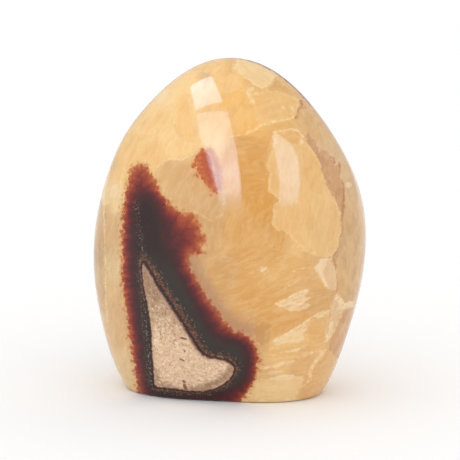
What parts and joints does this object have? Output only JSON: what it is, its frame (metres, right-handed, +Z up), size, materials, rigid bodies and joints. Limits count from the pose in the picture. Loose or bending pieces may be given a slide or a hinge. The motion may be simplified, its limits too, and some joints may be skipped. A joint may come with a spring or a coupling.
{
  "type": "septarian sculpture",
  "caption": "Polished freeform septarian stone with a flat sawn base: yellow calcite, a dark aragonite band and a pale limestone core.",
  "frame": {"origin": "centre of the stone's outline seen from above, on the plane of its flat base", "axes": "+Z up the stone, -Y out of its broad front face, +X to its right seen from the front"},
  "size_m": [0.0912, 0.058, 0.1119],
  "materials": {
    "polished_septarian": "polished"
  },
  "bodies": {
    "root": {"septarian_stone": "polished_septarian"}
  },
  "joints": []
}
